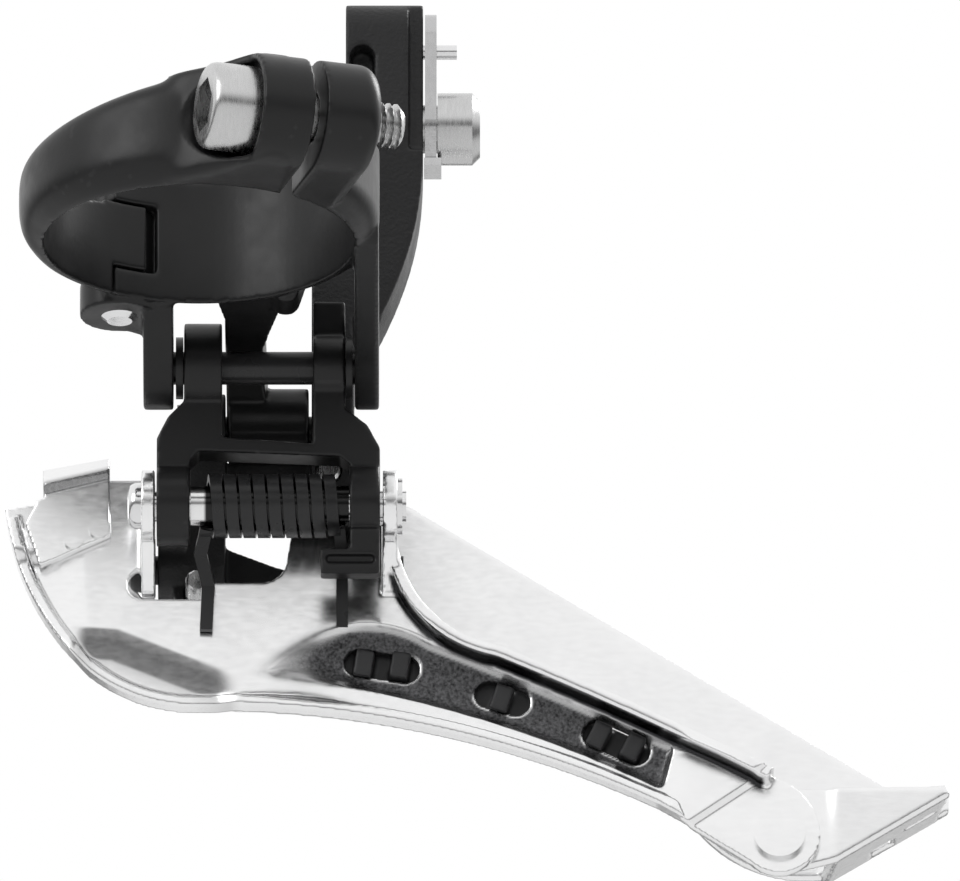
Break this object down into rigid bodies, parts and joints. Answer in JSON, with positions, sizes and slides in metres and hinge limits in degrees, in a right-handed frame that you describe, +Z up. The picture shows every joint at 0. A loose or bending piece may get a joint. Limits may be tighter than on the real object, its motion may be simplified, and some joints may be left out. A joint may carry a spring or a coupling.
{
  "type": "front derailleur",
  "caption": "Front derailleur with a hinged seat-tube clamp, parallelogram links, a long cable arm, a return spring and a curved two-plate chain cage.",
  "frame": {"origin": "on the seat-tube axis, at mid-height of the clamp band", "axes": "+X rearwards along the chain cage, +Y outboard to the drive side, +Z up along the seat tube"},
  "size_m": [0.0974, 0.0765, 0.0961],
  "materials": {
    "black_casting": "satin black paint on a smooth casting",
    "black_link": "semi-gloss black paint",
    "cast_arm": "black paint over fine cast texture",
    "black_pin": "black oxide",
    "bright_pin": "bright plated steel",
    "steel_bolt": "turned and brushed steel",
    "bright_plate": "bright nickel-chrome plating on pressed steel",
    "black_plastic": "moulded black plastic",
    "black_spring": "black oxide spring wire"
  },
  "bodies": {
    "bracket": {"main_bracket": "black_casting", "band_hinge_pin": "bright_pin", "inner_pivot_pin": "black_pin", "inner_pivot_washers": "black_pin", "outer_pivot_pin": "black_pin", "outer_pivot_clip": "black_pin"},
    "band": {"clamp_band": "black_casting"},
    "clamp_bolt_body": {"clamp_bolt": "steel_bolt"},
    "inner_link_body": {"inner_link": "black_link"},
    "outer_link_body": {"outer_link": "cast_arm", "cable_guide_pin": "bright_pin"},
    "cable_bolt_body": {"cable_fixing_bolt": "steel_bolt"},
    "cable_washer_body": {"cable_washer_plate": "bright_plate"},
    "low_screw_body": {"low_limit_screw": "steel_bolt"},
    "high_screw_body": {"high_limit_screw": "steel_bolt"},
    "cage": {"cage_inner_plate": "bright_plate", "cage_outer_plate": "bright_plate", "bridge_rivets": "bright_plate", "cage_tail_rivet": "bright_plate", "skid_plate": "black_plastic", "cage_pivot_pin": "bright_pin", "cage_pivot_washer": "bright_pin", "spring_bush": "bright_pin", "outer_cage_pins": "black_pin", "return_spring": "black_spring"}
  },
  "joints": [
    {"name": "linkage_swing", "type": "hinge", "parent": "bracket", "child": "inner_link_body", "pos_m": [0, 0.027, -0.00874], "axis": [1, 0, 0], "range_deg": [0, 32], "stiffness_Nm_per_rad": 0.05, "springref_deg": -34.38},
    {"name": "outer_link_swing", "type": "hinge", "parent": "bracket", "child": "outer_link_body", "pos_m": [0, 0.0394, -0.01092], "axis": [1, 0, 0], "range_deg": [0, 32]},
    {"name": "cage_pivot", "type": "hinge", "parent": "inner_link_body", "child": "cage", "pos_m": [0, 0.0286, -0.02342], "axis": [1, 0, 0], "range_deg": [-32, 0], "deforming": ["return_spring"]},
    {"name": "band_opening", "type": "hinge", "parent": "bracket", "child": "band", "pos_m": [-0.0083, 0.0187, 0], "axis": [0, 0, -1], "range_deg": [0, 3]},
    {"name": "clamp_bolt_travel", "type": "slide", "parent": "bracket", "child": "clamp_bolt_body", "axis": [-0.9548, -0.2974, 0], "range_m": [0, 0.0027]},
    {"name": "cable_bolt_travel", "type": "slide", "parent": "outer_link_body", "child": "cable_bolt_body", "axis": [1, 0, 0], "range_m": [0, 0.0024]},
    {"name": "cable_washer_travel", "type": "slide", "parent": "outer_link_body", "child": "cable_washer_body", "axis": [1, 0, 0], "range_m": [0, 0.0013]},
    {"name": "low_limit_travel", "type": "slide", "parent": "outer_link_body", "child": "low_screw_body", "axis": [0, 1, 0], "range_m": [0, 0.0025]},
    {"name": "high_limit_travel", "type": "slide", "parent": "outer_link_body", "child": "high_screw_body", "axis": [0, 1, 0], "range_m": [0, 0.0025]}
  ],
  "couplings": [
    {"joint": "outer_link_swing", "follows": "linkage_swing", "ratio": 1},
    {"joint": "cage_pivot", "follows": "linkage_swing", "ratio": -1},
    {"joint": "clamp_bolt_travel", "follows": "band_opening", "m_per_rad": 0.0497},
    {"joint": "cable_washer_travel", "follows": "cable_bolt_travel", "ratio": 0.5}
  ]
}
